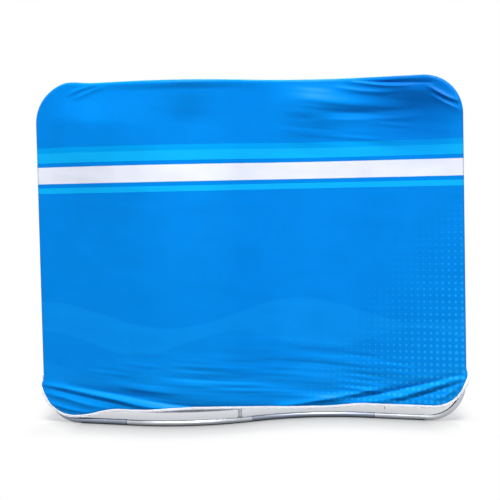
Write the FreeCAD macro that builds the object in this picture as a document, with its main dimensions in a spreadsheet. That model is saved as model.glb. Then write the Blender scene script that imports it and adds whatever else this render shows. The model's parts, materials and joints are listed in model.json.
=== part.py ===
import FreeCAD, Part
import math
import os
import Sketcher
from FreeCAD import Placement, Rotation, Vector

# A free-standing fabric display stand. A ring of aluminium tube, S-shaped in plan with
# rounded upper and lower corners, is plugged together from short lengths with ferrules and
# sprung snap buttons, and a pole props its middle. A stretch-fabric cover is pulled down
# over the ring, and its lower hem carries the two halves of an open zip.
# +X is to the viewer's right, +Y away from the viewer, +Z up, with the floor at zero.

sizes = {
    # ring of tube, outside to outside and along its centre line
    "frame_height": 2300.0,
    "tube_diameter": 38.0,
    "tube_wall": 1.5,
    "bend_radius": 240.0,
    "corner_arm": 362.0,
    "corner_leg_length": 360.0,
    "joint_gap": 2.0,
    "roll_radius": 980.0,
    "roll_angle_middle": 23.5,
    "roll_angle_end": 20.0,
    "roll_stub": 60.0,
    # middle pole and the moulded saddles at its ends
    "pole_diameter": 25.0,
    "pole_wall": 1.2,
    "pole_offset": 85.0,
    "saddle_diameter": 32.0,
    "saddle_lip": 10.0,
    "saddle_height": 9.0,
    "saddle_plug": 28.0,
    "saddle_clearance": 0.3,
    # ferrules, rivets and snap buttons of the tube joints
    "ferrule_length": 100.0,
    "ferrule_wall": 1.5,
    "fit_clearance": 0.1,
    "rivet_offset": 32.0,
    "rivet_diameter": 3.2,
    "rivet_head": 7.0,
    "rivet_head_height": 1.4,
    "rivet_tail": 1.2,
    "snap_offset": 25.0,
    "button_diameter": 8.0,
    "button_clearance": 0.2,
    "button_stand": 3.0,
    "button_dome": 1.6,
    "shoulder_diameter": 11.0,
    "shoulder_height": 1.5,
    "spring_width": 9.0,
    "spring_thickness": 0.8,
    "spring_leg": 24.0,
    # fabric cover
    "cover_clearance": 2.5,
    "cover_rest": 0.5,
    "fabric_thickness": 1.0,
    "hem_radius": 222.0,
    "hem_level": 30.0,
    "hem_front_corner_left": 56.0,
    "hem_front_joint_left": 110.0,
    "hem_front_crest": 126.0,
    "hem_front_dip": 81.0,
    "hem_front_right": 103.0,
    "hem_crest_place": 430.0,
    "hem_dip_place": 480.0,
    "hem_back": 100.0,
    # folds of the slack front panel: half breadth and rise of the largest one
    "fold_breadth": 27.0,
    "fold_rise": 10.0,
    # zip along the hem
    "tape_width": 12.0,
    "coil_height": 3.2,
    "coil_stand": 1.8,
    "zip_clearance": 0.3,
    "slider_length": 20.0,
    "slider_wall": 1.2,
    "slider_jaw": 4.0,
    "slider_place": 60.0,
    "bar_diameter": 2.0,
    "bar_stand": 3.2,
    "ear_wall": 1.2,
    "eye_gap": 4.4,
    "eye_width": 3.8,
    "eye_wall": 1.4,
    "pull_neck": 5.0,
    "pull_length": 32.0,
    "pull_width": 8.0,
    "pull_thickness": 1.4,
    # cuts run past what they cut by this much
    "overrun": 40.0,
}

doc = FreeCAD.newDocument("FabricDisplayStand")
sheet = doc.addObject("Spreadsheet::Sheet", "Sizes")
for row, (alias, amount) in enumerate(sizes.items(), 1):
    sheet.set(f"A{row}", alias)
    sheet.set(f"B{row}", str(amount))
    sheet.setAlias(f"B{row}", alias)
doc.recompute()

subparts = []


def size(alias):
    return float(sheet.get(alias))


def number(expression):
    return float(sheet.evalExpression(expression))


# Expressions that several pieces share
tube_radius = "Sizes.tube_diameter / 2"
corner_rise = "(Sizes.bend_radius + Sizes.corner_leg_length)"
side_length = f"Sizes.frame_height - Sizes.tube_diameter - 2 * {corner_rise}"
roll_turn = "(Sizes.roll_angle_middle + Sizes.roll_angle_end)"
half_gap = "Sizes.joint_gap / 2"
arm_run = f"(Sizes.corner_arm - {half_gap})"
leg_run = f"(Sizes.corner_leg_length - {half_gap})"
stub_run = f"(Sizes.roll_stub - {half_gap})"
pole_foot = "(Sizes.tube_diameter + Sizes.saddle_height)"
pole_length = f"Sizes.frame_height / 2 - {pole_foot}"
tube_of = {
    "ring": ("Sizes.tube_diameter", "Sizes.tube_wall"),
    "pole": ("Sizes.pole_diameter", "Sizes.pole_wall"),
}


def ferrule_radius(kind):
    diameter, wall = tube_of[kind]
    return f"({diameter} / 2 - {wall} - Sizes.fit_clearance)"


def ferrule_bore(kind):
    return f"({ferrule_radius(kind)} - Sizes.ferrule_wall)"


def shoulder_top(kind):
    bore, shoulder = ferrule_bore(kind), "Sizes.shoulder_diameter"
    return f"(sqrt({bore} * {bore} - {shoulder} * {shoulder} / 4) - Sizes.fit_clearance)"


def new_body(label):
    body = doc.addObject("PartDesign::Body", label)
    body.Label = label
    subparts.append(body)
    return body


def new_sketch(body, name, role, shift=()):
    sketch = body.newObject("Sketcher::SketchObject", name)
    plane = next(feature for feature in body.Origin.OriginFeatures if feature.Role == role)
    sketch.AttachmentSupport = (plane, [""])
    sketch.MapMode = "FlatFace"
    for axis, expression in shift:
        sketch.setExpression(f"AttachmentOffset.Base.{axis}", expression)
    return sketch


def bind(sketch, name, expression, kind, *places):
    index = sketch.addConstraint(Sketcher.Constraint(kind, *places, number(expression)))
    sketch.renameConstraint(index, name)
    sketch.setExpression(f"Constraints.{name}", expression)


def bound_circle(sketch, name, radius):
    circle = sketch.addGeometry(Part.Circle(Vector(), Vector(0, 0, 1), number(radius)))
    sketch.addConstraint(Sketcher.Constraint("Coincident", circle, 3, -1, 1))
    bind(sketch, name, radius, "Radius", circle)


def bound_ring(body, role, diameter, wall, shift=()):
    sketch = new_sketch(body, "Ring", role, shift)
    bound_circle(sketch, "outside", f"{diameter} / 2")
    bound_circle(sketch, "inside", f"{diameter} / 2 - {wall}")
    return sketch


def arc_between(start, end, centre_x, turn):
    # the centre lies on the chord's bisector, at the given x
    chord = end - start
    middle = (start + end) / 2
    centre = Vector(centre_x, middle.y - (centre_x - middle.x) * chord.x / chord.y, 0)
    first, last = (start, end) if turn > 0 else (end, start)
    angles = [math.atan2(point.y - centre.y, point.x - centre.x) for point in (first, last)]
    circle = Part.Circle(centre, Vector(0, 0, 1), (start - centre).Length)
    return Part.ArcOfCircle(circle, angles[0], angles[1])


def bound_outline(sketch, corners, arcs=None):
    # side i runs from corner i to the next; arcs give a side's centre x and turning direction
    arcs = arcs or {}
    points = [Vector(number(x), number(y), 0) for x, y in corners]
    sides = []
    for index, start in enumerate(points):
        end = points[(index + 1) % len(points)]
        if index in arcs:
            centre_x, turn = arcs[index]
            side = sketch.addGeometry(arc_between(start, end, number(centre_x), turn))
            sides.append((side, 1, 2) if turn > 0 else (side, 2, 1))
        else:
            sides.append((sketch.addGeometry(Part.LineSegment(start, end)), 1, 2))
    for index, (side, first, last) in enumerate(sides):
        following = sides[(index + 1) % len(sides)]
        sketch.addConstraint(Sketcher.Constraint("Coincident", side, last, following[0], following[1]))
        bind(sketch, f"across_{index}", corners[index][0], "DistanceX", -1, 1, side, first)
        bind(sketch, f"along_{index}", corners[index][1], "DistanceY", -1, 1, side, first)
    for index, (centre_x, turn) in arcs.items():
        bind(sketch, f"centre_{index}", centre_x, "DistanceX", -1, 1, sides[index][0], 3)


def extrude(body, kind, sketch, name, length, symmetric=False, reverse=False):
    feature = body.newObject(f"PartDesign::{kind}", name)
    feature.Profile = sketch
    feature.Type = "Length"
    feature.SideType = "Symmetric" if symmetric else "One side"
    feature.Reversed = reverse
    feature.setExpression("Length", length)
    return feature


def drill(body, name, role, shift, diameter, depth, reverse):
    sketch = new_sketch(body, f"{name}Circle", role, shift)
    bound_circle(sketch, "hole", f"{diameter} / 2")
    extrude(body, "Pocket", sketch, name, depth, reverse=reverse)


snap_hole = "(Sizes.button_diameter + 2 * Sizes.button_clearance)"
rivet_hole = "(Sizes.rivet_diameter + 2 * Sizes.fit_clearance)"


def pipe_along(body, ring, path):
    pipe = body.newObject("PartDesign::AdditivePipe", "Tube")
    pipe.Profile = ring
    pipe.Spine = (path, ["Edge1", "Edge2", "Edge3"])


# Corner tube: an arm along -X, a quarter bend up from the origin, and a leg up to the side tube
def corner_tube(label):
    body = new_body(label)
    path = new_sketch(body, "Path", "XZ_Plane")
    arm, leg, radius = number(arm_run), number(leg_run), size("bend_radius")
    path.addGeometry(Part.LineSegment(Vector(-arm, 0, 0), Vector()))
    bend = Part.Circle(Vector(0, radius, 0), Vector(0, 0, 1), radius)
    path.addGeometry(Part.ArcOfCircle(bend, -math.pi / 2, 0))
    path.addGeometry(Part.LineSegment(Vector(radius, radius, 0), Vector(radius, radius + leg, 0)))
    path.addConstraint(Sketcher.Constraint("Coincident", 0, 2, -1, 1))
    path.addConstraint(Sketcher.Constraint("Horizontal", 0))
    path.addConstraint(Sketcher.Constraint("Tangent", 0, 2, 1, 1))
    path.addConstraint(Sketcher.Constraint("Tangent", 1, 2, 2, 1))
    path.addConstraint(Sketcher.Constraint("Vertical", 2))
    bind(path, "arm", arm_run, "DistanceX", 0, 1, 0, 2)
    bind(path, "bend", "Sizes.bend_radius", "Radius", 1)
    bind(path, "leg", leg_run, "DistanceY", 2, 1, 2, 2)
    ring = bound_ring(body, "YZ_Plane", *tube_of["ring"], shift=[("z", f"-{arm_run}")])
    pipe_along(body, ring, path)
    arm_place = [("x", "Sizes.snap_offset - Sizes.corner_arm")]
    drill(body, "ArmHole", "XY_Plane", arm_place, snap_hole, tube_radius, True)
    leg_place = [("y", f"{corner_rise} - Sizes.snap_offset")]
    drill(body, "LegHole", "YZ_Plane", leg_place, snap_hole, "Sizes.bend_radius", True)
    return body


# Rolled tube: a straight stub along +X from the middle joint, a bend to -Y, and a second stub
def rolled_tube(label, first_hole, first_offset, upward):
    body = new_body(label)
    path = new_sketch(body, "Path", "XY_Plane")
    stub, radius, turn = size("roll_stub"), size("roll_radius"), math.radians(number(roll_turn))
    run = number(stub_run)
    path.addGeometry(Part.LineSegment(Vector(stub - run, 0, 0), Vector(stub, 0, 0)))
    roll = Part.Circle(Vector(stub, -radius, 0), Vector(0, 0, 1), radius)
    path.addGeometry(Part.ArcOfCircle(roll, math.pi / 2 - turn, math.pi / 2))
    leave = Vector(stub + radius * math.sin(turn), -radius * (1 - math.cos(turn)), 0)
    path.addGeometry(Part.LineSegment(leave, leave + Vector(math.cos(turn), -math.sin(turn), 0) * run))
    path.addConstraint(Sketcher.Constraint("PointOnObject", 0, 1, -1))
    path.addConstraint(Sketcher.Constraint("Horizontal", 0))
    path.addConstraint(Sketcher.Constraint("Tangent", 0, 2, 1, 2))
    path.addConstraint(Sketcher.Constraint("Tangent", 1, 1, 2, 1))
    bind(path, "start", half_gap, "DistanceX", -1, 1, 0, 1)
    bind(path, "stub", stub_run, "DistanceX", 0, 1, 0, 2)
    bind(path, "roll", "Sizes.roll_radius", "Radius", 1)
    index = path.addConstraint(Sketcher.Constraint("Angle", 1, turn))
    path.renameConstraint(index, "turn")
    path.setExpression("Constraints.turn", roll_turn)
    bind(path, "end_stub", stub_run, "Distance", 2)
    ring = bound_ring(body, "YZ_Plane", *tube_of["ring"], shift=[("z", half_gap)])
    pipe_along(body, ring, path)
    drill(body, "MiddleHole", "XY_Plane", [("x", first_offset)], first_hole, tube_radius, upward)
    back = "(Sizes.roll_stub - Sizes.rivet_offset)"
    far_x = f"Sizes.roll_stub + Sizes.roll_radius * sin({roll_turn}) + {back} * cos({roll_turn})"
    far_y = f"-Sizes.roll_radius * (1 - cos({roll_turn})) - {back} * sin({roll_turn})"
    drill(body, "EndHole", "XY_Plane", [("x", far_x), ("y", far_y)], rivet_hole, tube_radius, upward)
    return body


# Straight tube along +Z from foot to head, with holes in the wall that faces the ring's inside
def straight_tube(label, kind, foot, head, holes, reverse):
    body = new_body(label)
    ring = bound_ring(body, "XY_Plane", *tube_of[kind], shift=[("z", foot)])
    extrude(body, "Pad", ring, "Tube", f"{head} - {foot}")
    for index, (height, diameter) in enumerate(holes, 1):
        depth = f"{tube_of[kind][0]} / 2"
        drill(body, f"Hole{index}", "YZ_Plane", [("y", height)], diameter, depth, reverse)
    return body


# Ferrule along X: riveted into one tube at -X, snapped into the next at +X, button towards +Z
def ferrule(label, kind):
    body = new_body(label)
    ring = bound_ring(body, "YZ_Plane", f"2 * {ferrule_radius(kind)}", "Sizes.ferrule_wall")
    extrude(body, "Pad", ring, "Sleeve", "Sizes.ferrule_length", symmetric=True)
    depth = f"{tube_of[kind][0]} / 2"
    drill(body, "SnapHole", "XY_Plane", [("x", "Sizes.snap_offset")], snap_hole, depth, True)
    drill(body, "RivetHole", "XY_Plane", [("x", "-Sizes.rivet_offset")], rivet_hole, depth, True)
    return body


def turned(body, corners, arcs, shift=()):
    sketch = new_sketch(body, "Profile", "XZ_Plane", shift)
    bound_outline(sketch, corners, arcs)
    feature = body.newObject("PartDesign::Revolution", "Turned")
    feature.Profile = sketch
    feature.ReferenceAxis = (sketch, ["V_Axis"])
    feature.Angle = 360.0
    return feature


# Snap button: a domed peg with a shoulder that stops against the ferrule's bore
def snap_button(label, kind):
    body = new_body(label)
    tip = f"({tube_of[kind][0]} / 2 + Sizes.button_stand)"
    stop = shoulder_top(kind)
    foot = f"{stop} - Sizes.shoulder_height"
    corners = [
        ("0", foot),
        ("Sizes.shoulder_diameter / 2", foot),
        ("Sizes.shoulder_diameter / 2", stop),
        ("Sizes.button_diameter / 2", stop),
        ("Sizes.button_diameter / 2", f"{tip} - Sizes.button_dome"),
        ("0", tip),
    ]
    turned(body, corners, {4: ("0", 1)}, shift=[("x", "Sizes.snap_offset")])
    return body


# Button spring: a hairpin of steel strip, its legs apart between the button and the far wall
def button_spring(label, kind):
    body = new_body(label)
    bore = ferrule_bore(kind)
    top = f"({shoulder_top(kind)} - Sizes.shoulder_height - Sizes.fit_clearance)"
    low = f"(Sizes.fit_clearance - sqrt({bore} * {bore} - Sizes.spring_width * Sizes.spring_width / 4))"
    tip = "Sizes.snap_offset + Sizes.shoulder_diameter / 2"
    root = "Sizes.snap_offset - Sizes.spring_leg"
    corners = [
        (tip, top),
        (root, top),
        (root, low),
        (tip, low),
        (tip, f"{low} + Sizes.spring_thickness"),
        (root, f"{low} + Sizes.spring_thickness"),
        (root, f"{top} - Sizes.spring_thickness"),
        (tip, f"{top} - Sizes.spring_thickness"),
    ]
    sketch = new_sketch(body, "Hairpin", "XZ_Plane")
    bound_outline(sketch, corners, {1: (root, 1), 5: (root, -1)})
    extrude(body, "Pad", sketch, "Strip", "Sizes.spring_width", symmetric=True)
    return body


# Rivet: a round head on the tube, a shank through both walls and a spread tail inside
def rivet(kind):
    body = doc.addObject("PartDesign::Body", f"{kind}_rivet_pattern")
    outside = tube_radius if kind == "ring" else "Sizes.pole_diameter / 2"
    crown = f"{outside} + Sizes.rivet_head_height"
    tail = f"{ferrule_bore(kind)} - Sizes.rivet_tail"
    corners = [
        ("0", tail),
        ("Sizes.rivet_diameter / 2", tail),
        ("Sizes.rivet_diameter / 2", outside),
        ("Sizes.rivet_head / 2", outside),
        ("0", crown),
    ]
    turned(body, corners, {3: ("0", 1)}, shift=[("x", "-Sizes.rivet_offset")])
    return body


# Saddle: a moulded plug in the pole's end with a cup that sits across the tube
def pole_saddle(label):
    body = new_body(label)
    block = new_sketch(body, "Block", "XY_Plane", [("z", "Sizes.saddle_lip")])
    bound_circle(block, "block", "Sizes.saddle_diameter / 2")
    extrude(body, "Pad", block, "Cup", f"{tube_radius} + Sizes.saddle_height - Sizes.saddle_lip")
    plug = new_sketch(body, "PlugCircle", "XY_Plane", [("z", f"{tube_radius} + Sizes.saddle_height")])
    bound_circle(plug, "plug", "Sizes.pole_diameter / 2 - Sizes.pole_wall - Sizes.fit_clearance")
    extrude(body, "Pad", plug, "Plug", "Sizes.saddle_plug")
    seat = new_sketch(body, "SeatCircle", "YZ_Plane")
    bound_circle(seat, "seat", f"{tube_radius} + Sizes.saddle_clearance")
    extrude(body, "Pocket", seat, "Seat", "2 * Sizes.saddle_diameter", symmetric=True)
    return body


# Plan of the right half of the ring: stub, rolled bend, stub, corner arm and side tube
def heading(angle):
    return Vector(math.cos(angle), math.sin(angle), 0)


def backward(angle):
    return Vector(-math.sin(angle), math.cos(angle), 0)


middle_angle = math.radians(size("roll_angle_middle"))
end_angle = -math.radians(size("roll_angle_end"))
stub_end = heading(middle_angle) * size("roll_stub")
roll_centre = stub_end - backward(middle_angle) * size("roll_radius")
roll_end = roll_centre + backward(end_angle) * size("roll_radius")
outer_joint = roll_end + heading(end_angle) * size("roll_stub")
bend_start = outer_joint + heading(end_angle) * size("corner_arm")
side_axis = bend_start + heading(end_angle) * size("bend_radius")
up = Vector(0, 0, 1)
low_axis = size("tube_diameter") / 2
high_axis = size("frame_height") - size("tube_diameter") / 2


def at(point, height):
    return Vector(point.x, point.y, height)


def facing(x_axis, z_axis):
    return Rotation(x_axis, z_axis.cross(x_axis), z_axis, "ZXY")


roll_length = size("roll_radius") * (middle_angle - end_angle)
half_length = size("roll_stub") * 2 + roll_length + size("corner_arm") + size("bend_radius")


def plan_place(along):
    # point and heading on the ring's plan, at a distance along it from the middle joint
    distance, half = abs(along), math.copysign(1, along)
    past_stub = distance - size("roll_stub")
    if past_stub <= 0:
        return heading(middle_angle) * along, middle_angle
    if past_stub <= roll_length:
        angle = middle_angle - past_stub / size("roll_radius")
        return (roll_centre + backward(angle) * size("roll_radius")) * half, angle
    return (roll_end + heading(end_angle) * (past_stub - roll_length)) * half, end_angle


# The left half is the right half turned half round the vertical
halves = {"right": 1, "left": -1}
levels = {"bottom": (low_axis, up), "top": (high_axis, up * -1)}
out_of = {side: heading(end_angle) * sign for side, sign in halves.items()}

for level, (height, inward) in levels.items():
    upward = level == "bottom"
    for side, sign in halves.items():
        tube = corner_tube(f"corner_tube_{level}_{side}")
        tube.Placement = Placement(at(bend_start * sign, height), facing(out_of[side], inward))
        if side == "right":
            tube = rolled_tube(f"{level}_tube_{side}", snap_hole, "Sizes.snap_offset", upward)
        else:
            tube = rolled_tube(f"{level}_tube_{side}", rivet_hole, "Sizes.rivet_offset", upward)
        tube.Placement = Placement(Vector(0, 0, height), facing(heading(middle_angle) * sign, up))

side_foot = low_axis + number(corner_rise)
side_head = high_axis - number(corner_rise)
for side, sign in halves.items():
    holes = [("Sizes.rivet_offset", rivet_hole), (f"{side_length} - Sizes.rivet_offset", rivet_hole)]
    side_end = f"{side_length} - {half_gap}"
    tube = straight_tube(f"side_tube_{side}", "ring", half_gap, side_end, holes, False)
    tube.Placement = Placement(at(side_axis * sign, side_foot), facing(out_of[side], up))

# The pole stands on the left half, beside the middle joint
pole_point, pole_angle = plan_place(-size("pole_offset"))
pole_way = heading(pole_angle)
pole_middle = size("frame_height") / 2

lower_holes = [(f"{pole_length} - Sizes.rivet_offset", rivet_hole)]
tube = straight_tube("pole_tube_lower", "pole", "0", f"{pole_length} - {half_gap}", lower_holes, True)
tube.Placement = Placement(at(pole_point, number(pole_foot)), facing(pole_way, up))
upper_holes = [("Sizes.snap_offset", snap_hole)]
tube = straight_tube("pole_tube_upper", "pole", half_gap, pole_length, upper_holes, True)
tube.Placement = Placement(at(pole_point, pole_middle), facing(pole_way, up))
for level, (height, inward) in levels.items():
    saddle = pole_saddle(f"pole_saddle_{level}")
    saddle.Placement = Placement(at(pole_point, height), facing(pole_way, inward))

# Joints: where each lies, the way from its ferrule's rivet to its button, and the button's way
joints = {}
for level, (height, inward) in levels.items():
    joints[f"{level}_middle"] = ("ring", Vector(0, 0, height), heading(middle_angle), inward)
    for side, sign in halves.items():
        joints[f"{level}_{side}"] = ("ring", at(outer_joint * sign, height), out_of[side], inward)
for side, sign in halves.items():
    inside = out_of[side] * -1
    joints[f"{side}_lower"] = ("ring", at(side_axis * sign, side_foot), up * -1, inside)
    joints[f"{side}_upper"] = ("ring", at(side_axis * sign, side_head), up, inside)
joints["pole"] = ("pole", at(pole_point, pole_middle), up, pole_way)

rivet_patterns = {kind: rivet(kind) for kind in tube_of}
rivet_places = []
for name, (kind, place, way, button_way) in joints.items():
    placement = Placement(place, facing(way, button_way))
    for make in (ferrule, snap_button, button_spring):
        make(f"{make.__name__}_{name}", kind).Placement = placement
    rivet_places.append((kind, placement))
doc.recompute()


def add_feature(label, shape):
    feature = doc.addObject("Part::Feature", label)
    feature.Label = label
    feature.Shape = shape
    feature.Placement = Placement()
    subparts.append(feature)
    return feature


rivets = []
for kind, placement in rivet_places:
    shape = rivet_patterns[kind].Shape.copy()
    shape.Placement = placement
    rivets.append(shape)
add_feature("ferrule_rivets", Part.makeCompound(rivets))

# Cover: two panels that meet in a seam over the middle of the tubes. The cover hangs on the
# top tube, so its own centre line lies a little below the tube's.
cover_inside = size("tube_diameter") / 2 + size("cover_clearance")
cover_outside = cover_inside + size("fabric_thickness")
coil_outside = cover_outside + size("coil_stand")
cover_axis = high_axis - size("cover_clearance") + size("cover_rest")
corner_height = cover_axis - size("bend_radius")
panel_sides = {"front": -1, "back": 1}


def edges_of(sides):
    # straight sides, and arcs where a side has a point on its way
    edges = []
    for start, middle, end in sides:
        if middle is None:
            edges.append(Part.makeLine(start, end))
        else:
            edges.append(Part.Arc(start, middle, end).toShape())
    return edges


def panel_section(origin, outward, rise, inside, outside, reach):
    # a sheet that hangs down by the reach and turns a quarter over the tube to the seam
    slant = (outward + rise) / math.sqrt(2)
    near, far = outward * inside, outward * outside
    foot = rise * -reach
    return Part.Face(Part.Wire(edges_of([
        (origin + far + foot, None, origin + far),
        (origin + far, origin + slant * outside, origin + rise * outside),
        (origin + rise * outside, None, origin + rise * inside),
        (origin + rise * inside, origin + slant * inside, origin + near),
        (origin + near, None, origin + near + foot),
        (origin + near + foot, None, origin + far + foot),
    ])))


def half_shell(face, inside, outside):
    # the middle stretch follows the plan of the ring, then each corner turns down its side
    sign = panel_sides[face]
    turn = math.degrees(middle_angle - end_angle)
    solids = []
    for half in halves.values():
        outward = backward(middle_angle) * sign
        section = panel_section(Vector(0, 0, cover_axis), outward, up, inside, outside, cover_axis)
        solids.append(section.extrude(stub_end * half))
        section.translate(stub_end * half)
        solids.append(section.revolve(roll_centre * half, up * -1, turn))
        outward = backward(end_angle) * sign
        start = at(roll_end * half, cover_axis)
        section = panel_section(start, outward, up, inside, outside, cover_axis)
        solids.append(section.extrude((bend_start - roll_end) * half))
        way = heading(end_angle) * half
        pivot = at(bend_start * half, corner_height)
        start = at(bend_start * half, cover_axis)
        section = panel_section(start, outward, up, inside, outside, size("bend_radius"))
        solids.append(section.revolve(pivot, up.cross(way), 90.0))
        start = at(side_axis * half, corner_height)
        section = panel_section(start, outward, way, inside, outside, size("bend_radius"))
        solids.append(section.extrude(up * -corner_height))
    return solids[0].multiFuse(solids[1:]).removeSplitter()


def wave(start, end):
    # two equal arcs from one level stretch to another
    middle = (start + end) / 2
    first, second = bow_arc(start, middle), bow_arc(end, middle)
    return [first, second[::-1]]


def bow_arc(level_end, middle):
    # the arc that is level at one end and passes through the middle of the wave
    step = middle - level_end
    radius = step.dot(step) / (2 * step.z)
    centre = level_end + up * radius
    half_way = (level_end + middle) / 2 - centre
    return (level_end, centre + half_way * (abs(radius) / half_way.Length), middle)


def below(top_sides, normal, depth):
    # everything under a hem line: its sides, closed far below, and run through the cloth
    first, last = top_sides[0][0], top_sides[-1][2]
    floor_first, floor_last = at(first, -size("overrun")), at(last, -size("overrun"))
    rest = [(last, None, floor_last), (floor_last, None, floor_first), (floor_first, None, first)]
    section = Part.Face(Part.Wire(edges_of(top_sides + rest)))
    section.translate(normal * -depth)
    return section.extrude(normal * (2 * depth))


def hem_solid(face, drop):
    # the hem falls from the seam round each lower corner, and wanders between them
    front = face == "front"
    corner_hem = {
        "left": size("hem_front_corner_left") if front else size("hem_back"),
        "right": size("hem_front_right") if front else size("hem_back"),
    }
    joint_hem = {
        "left": size("hem_front_joint_left") if front else size("hem_back"),
        "right": size("hem_front_right") if front else size("hem_back"),
    }
    level, radius = size("hem_level"), size("hem_radius")
    solids = []
    for side, sign in halves.items():
        way = heading(end_angle) * sign
        edge = side_axis * sign + way * cover_outside
        fall = at(edge - way * radius, corner_hem[side] + radius)
        corner = fall - up * (radius + drop)
        joint = at(outer_joint * sign, joint_hem[side] - drop)
        inner = joint - way * level
        outer = joint + way * level
        top = fall + way * (radius + drop)
        slant = (way - up) / math.sqrt(2)
        sides = [(inner, None, outer)]
        if math.isclose(corner.z, outer.z):
            sides.append((outer, None, corner))
        else:
            sides += wave(outer, corner)
        sides.append((corner, fall + slant * (radius + drop), top))
        sides.append((top, None, top + way * size("overrun")))
        solids.append(below(sides, backward(end_angle), size("overrun") + cover_outside))
    ends = [at(outer_joint * -1, joint_hem["left"] - drop), at(outer_joint, joint_hem["right"] - drop)]
    flat = [Vector(point.x, 0, point.z) for point in ends]
    across = Vector(level, 0, 0)
    if front:
        crest = Vector(-size("hem_crest_place"), 0, size("hem_front_crest") - drop)
        dip = Vector(size("hem_dip_place"), 0, size("hem_front_dip") - drop)
        sides = [(flat[0] - across, None, flat[0] + across)]
        for start, end in ((flat[0] + across, crest), (crest, dip), (dip, flat[1] - across)):
            sides += wave(start, end)
        sides.append((flat[1] - across, None, flat[1] + across))
    else:
        sides = [(flat[0] - across, None, flat[1] + across)]
    solids.append(below(sides, Vector(0, 1, 0), bend_start.Length))
    return solids[0].multiFuse(solids[1:])


# Main folds of the front panel, slack above its open hem and under its top edge. Each runs straight
# from one place to another, given along the plan and up the frame, and swells in between.
fold_shares = {
    "lower_left": (-0.980, 0.1157, -0.435, 0.0665, 1.0),
    "corner_left": (-0.982, 0.0961, -0.678, 0.0570, 0.8),
    "lower_right": (0.980, 0.1400, 0.547, 0.0560, 1.0),
    "lower_middle": (0.604, 0.0965, 0.270, 0.0530, 0.9),
    "upper_edge": (0.533, 0.9870, 0.751, 0.9739, 0.6),
    "upper_right": (0.452, 0.9720, 0.712, 0.9560, 0.7),
    "shoulder": (0.332, 0.8839, 0.804, 0.8830, 0.7),
    "corner_right": (0.874, 0.9635, 0.955, 0.9350, 0.7),
    "corner_top_left": (-0.871, 0.9260, -0.693, 0.9740, 0.8),
}
fold_sections = 13
fold_tip_share = 0.25


def fold_ridge(start_along, start_height, end_along, end_height, breadth_share):
    sections = []
    for index in range(fold_sections):
        part_way = index / (fold_sections - 1)
        along = half_length * (start_along + (end_along - start_along) * part_way)
        height = size("frame_height") * (start_height + (end_height - start_height) * part_way)
        place, angle = plan_place(along)
        outward = backward(angle) * -1
        crest = at(place + outward * cover_outside, height)
        run = heading(angle) * (half_length * (end_along - start_along))
        run = run + up * (size("frame_height") * (end_height - start_height))
        across = run.cross(outward).normalize()
        swell = fold_tip_share + (1 - fold_tip_share) * math.sin(math.pi * part_way)
        half_breadth = across * (size("fold_breadth") * breadth_share * swell)
        foot = crest - outward * (size("fabric_thickness") / 2)
        peak = crest + outward * (size("fold_rise") * breadth_share * swell)
        ends = foot - half_breadth, foot + half_breadth
        sections.append(Part.Wire(edges_of([(ends[0], peak, ends[1]), (ends[1], None, ends[0])])))
    return Part.makeLoft(sections, True)


for face in panel_sides:
    cloth = half_shell(face, cover_inside, cover_outside)
    thick = half_shell(face, cover_inside, coil_outside)
    tape_drop = size("tape_width")
    coil_drop = tape_drop + size("coil_height")
    panel_hem = hem_solid(face, 0.0)
    tape_hem = hem_solid(face, tape_drop)
    coil_hem = hem_solid(face, coil_drop)
    panel = cloth.cut(panel_hem).removeSplitter()
    if face == "front":
        panel = panel.multiFuse([fold_ridge(*shares) for shares in fold_shares.values()])
    add_feature(f"{face}_panel", panel)
    add_feature(f"{face}_zip_tape", cloth.common(panel_hem).cut(tape_hem).removeSplitter())
    add_feature(f"{face}_zip_coil", thick.common(tape_hem).cut(coil_hem).removeSplitter())

# Zip slider, open upwards round the coil of the back hem, with a bar for its pull.
# x runs along the hem, y out of the cloth from the middle of the tube, z up from the coil's foot.
inside_skin = "(Sizes.tube_diameter / 2 + Sizes.cover_clearance)"
cloth_gap = f"({inside_skin} - Sizes.zip_clearance)"
tape_gap = f"({inside_skin} + Sizes.fabric_thickness + Sizes.zip_clearance)"
coil_gap = f"({tape_gap} + Sizes.coil_stand)"
slider_face = f"({coil_gap} + Sizes.slider_wall)"
slider_foot = "(-Sizes.zip_clearance - Sizes.slider_wall)"
coil_top = "(Sizes.coil_height + Sizes.zip_clearance)"
slider_head = f"({coil_top} + Sizes.slider_jaw)"
bar_y = f"({slider_face} + Sizes.bar_stand)"
bar_z = f"(({slider_foot} + {slider_head}) / 2)"
ear_reach = "(Sizes.bar_diameter / 2 + Sizes.ear_wall)"


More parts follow.
